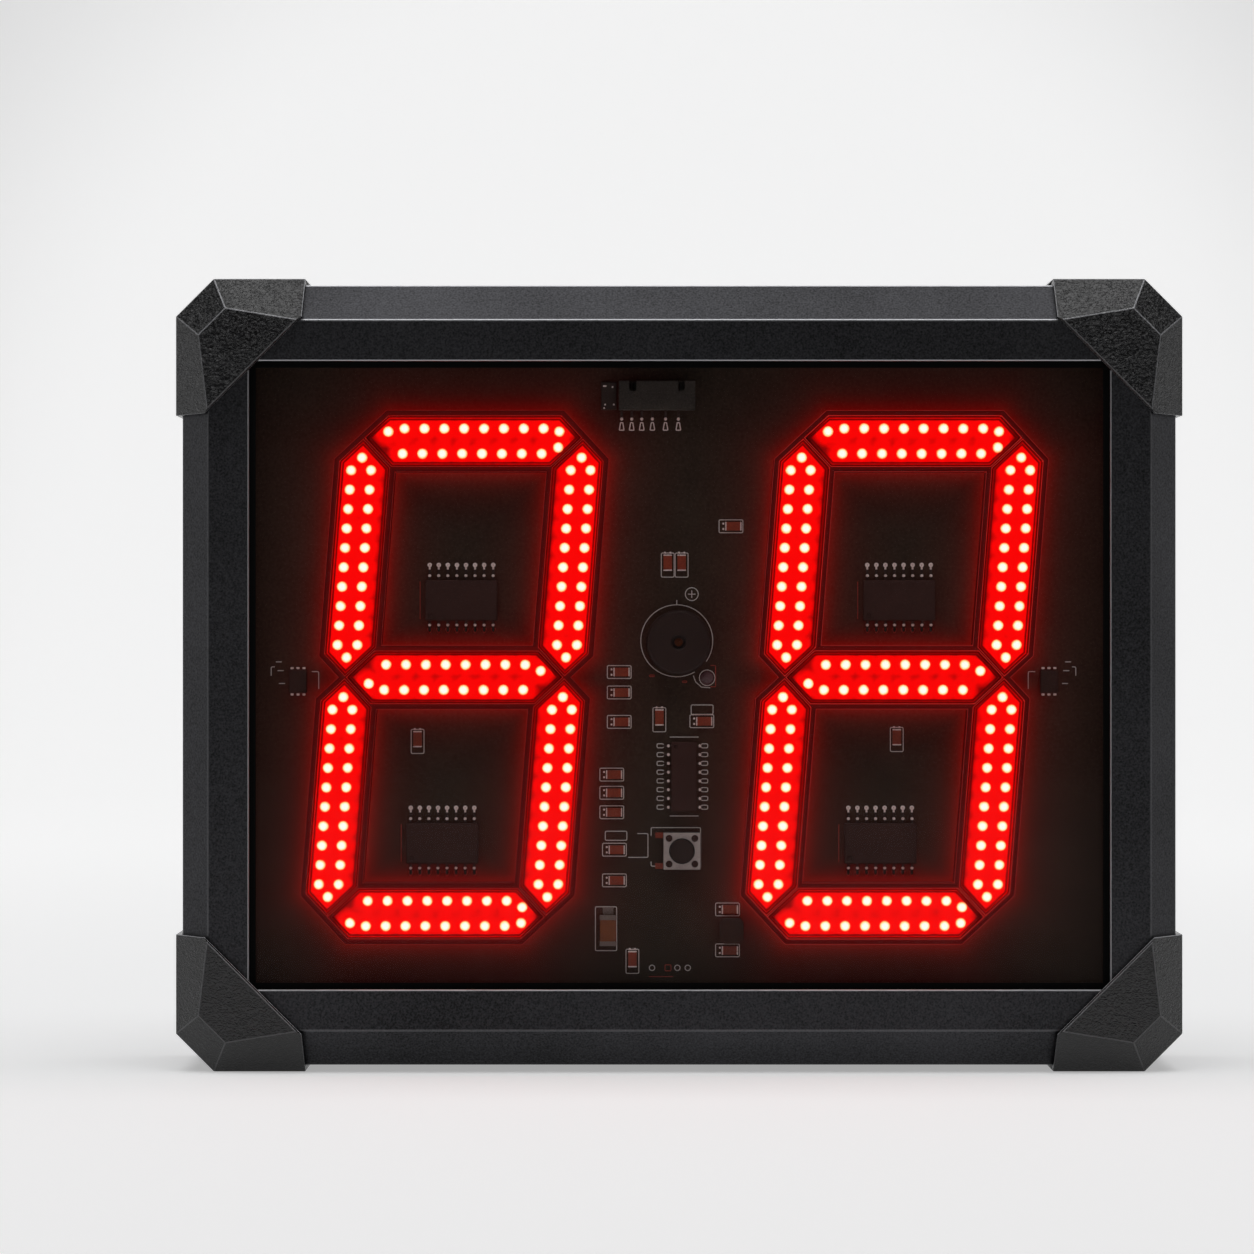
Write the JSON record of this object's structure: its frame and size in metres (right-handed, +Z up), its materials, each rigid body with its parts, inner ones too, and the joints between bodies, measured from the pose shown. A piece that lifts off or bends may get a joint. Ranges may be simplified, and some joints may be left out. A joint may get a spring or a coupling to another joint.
{
  "type": "shot clock",
  "caption": "Shot clock: slanted segmented LED digits behind a tinted window in a bevelled aluminium frame with faceted corner caps; switch, charge socket and keyholes at the back.",
  "frame": {"origin": "middle of the underside, at the level that the lower corner caps stand on", "axes": "+X to the viewer's right as the digits are read, +Y from the window to the back panel, +Z up"},
  "size_m": [0.32, 0.07, 0.252],
  "materials": {
    "rail_aluminium": "fine-textured black powder coat on extruded aluminium",
    "cap_plastic": "moulded black plastic with a fine grain",
    "key_aluminium": "mill finish",
    "screw_steel": "black oxide",
    "window_acrylic": "clear smoke-tinted cast acrylic",
    "seal_rubber": "matt black rubber",
    "housing_plastic": "moulded matt black",
    "segment_resin": "cast red resin, lit",
    "board_laminate": "black solder mask",
    "chip_epoxy": "moulded black epoxy",
    "connector_plastic": "moulded black",
    "buzzer_plastic": "moulded black",
    "button_steel": "stamped tinned steel over a black base",
    "plunger_plastic": "moulded black",
    "capacitor_ceramic": "brown fired ceramic with tinned ends",
    "choke_ferrite": "dark ferrite",
    "panel_aluminium": "black powder-coated sheet",
    "switch_plastic": "moulded black nylon",
    "rocker_plastic": "moulded black",
    "socket_plastic": "moulded black",
    "battery_wrap": "blue heat-shrunk film",
    "bracket_steel": "zinc-plated sheet",
    "supply_laminate": "green solder mask",
    "lead_red": "red insulation",
    "lead_black": "black insulation"
  },
  "bodies": {
    "clock": {"top_rail": "rail_aluminium", "bottom_rail": "rail_aluminium", "left_rail": "rail_aluminium", "right_rail": "rail_aluminium", "corner_cap_top_left": "cap_plastic", "corner_cap_top_right": "cap_plastic", "corner_cap_bottom_left": "cap_plastic", "corner_cap_bottom_right": "cap_plastic", "corner_key_top_left": "key_aluminium", "corner_key_top_right": "key_aluminium", "corner_key_bottom_left": "key_aluminium", "corner_key_bottom_right": "key_aluminium", "cap_screw_top_left": "screw_steel", "cap_screw_top_right": "screw_steel", "cap_screw_bottom_left": "screw_steel", "cap_screw_bottom_right": "screw_steel", "front_window": "window_acrylic", "window_seal": "seal_rubber", "digit_housing_left": "housing_plastic", "digit_housing_right": "housing_plastic", "segment_left_a": "segment_resin", "segment_left_b": "segment_resin", "segment_left_c": "segment_resin", "segment_left_d": "segment_resin", "segment_left_e": "segment_resin", "segment_left_f": "segment_resin", "segment_left_g": "segment_resin", "segment_right_a": "segment_resin", "segment_right_b": "segment_resin", "segment_right_c": "segment_resin", "segment_right_d": "segment_resin", "segment_right_e": "segment_resin", "segment_right_f": "segment_resin", "segment_right_g": "segment_resin", "display_board": "board_laminate", "driver_chip_left_upper": "chip_epoxy", "driver_chip_left_lower": "chip_epoxy", "driver_chip_right_upper": "chip_epoxy", "driver_chip_right_lower": "chip_epoxy", "logic_chip": "chip_epoxy", "board_connector": "connector_plastic", "buzzer": "buzzer_plastic", "push_button_body": "button_steel", "storage_capacitor": "capacitor_ceramic", "choke": "choke_ferrite", "back_panel": "panel_aluminium", "power_switch_body": "switch_plastic", "charge_socket": "socket_plastic", "battery_pack": "battery_wrap", "battery_bracket": "bracket_steel", "supply_board": "supply_laminate", "battery_lead": "lead_red", "display_lead": "lead_black"},
    "button_plunger": {"push_button_plunger": "plunger_plastic"},
    "switch_rocker": {"power_switch_rocker": "rocker_plastic"}
  },
  "joints": [
    {"name": "button_press", "type": "slide", "parent": "clock", "child": "button_plunger", "axis": [0, 1, 0], "range_m": [0, 0.0003], "stiffness_N_per_m": 500, "springref_m": -0.0003},
    {"name": "rocker_tilt", "type": "hinge", "parent": "clock", "child": "switch_rocker", "pos_m": [0.088, 0.0315, 0.044], "axis": [1, 0, 0], "range_deg": [-22, 0]}
  ]
}
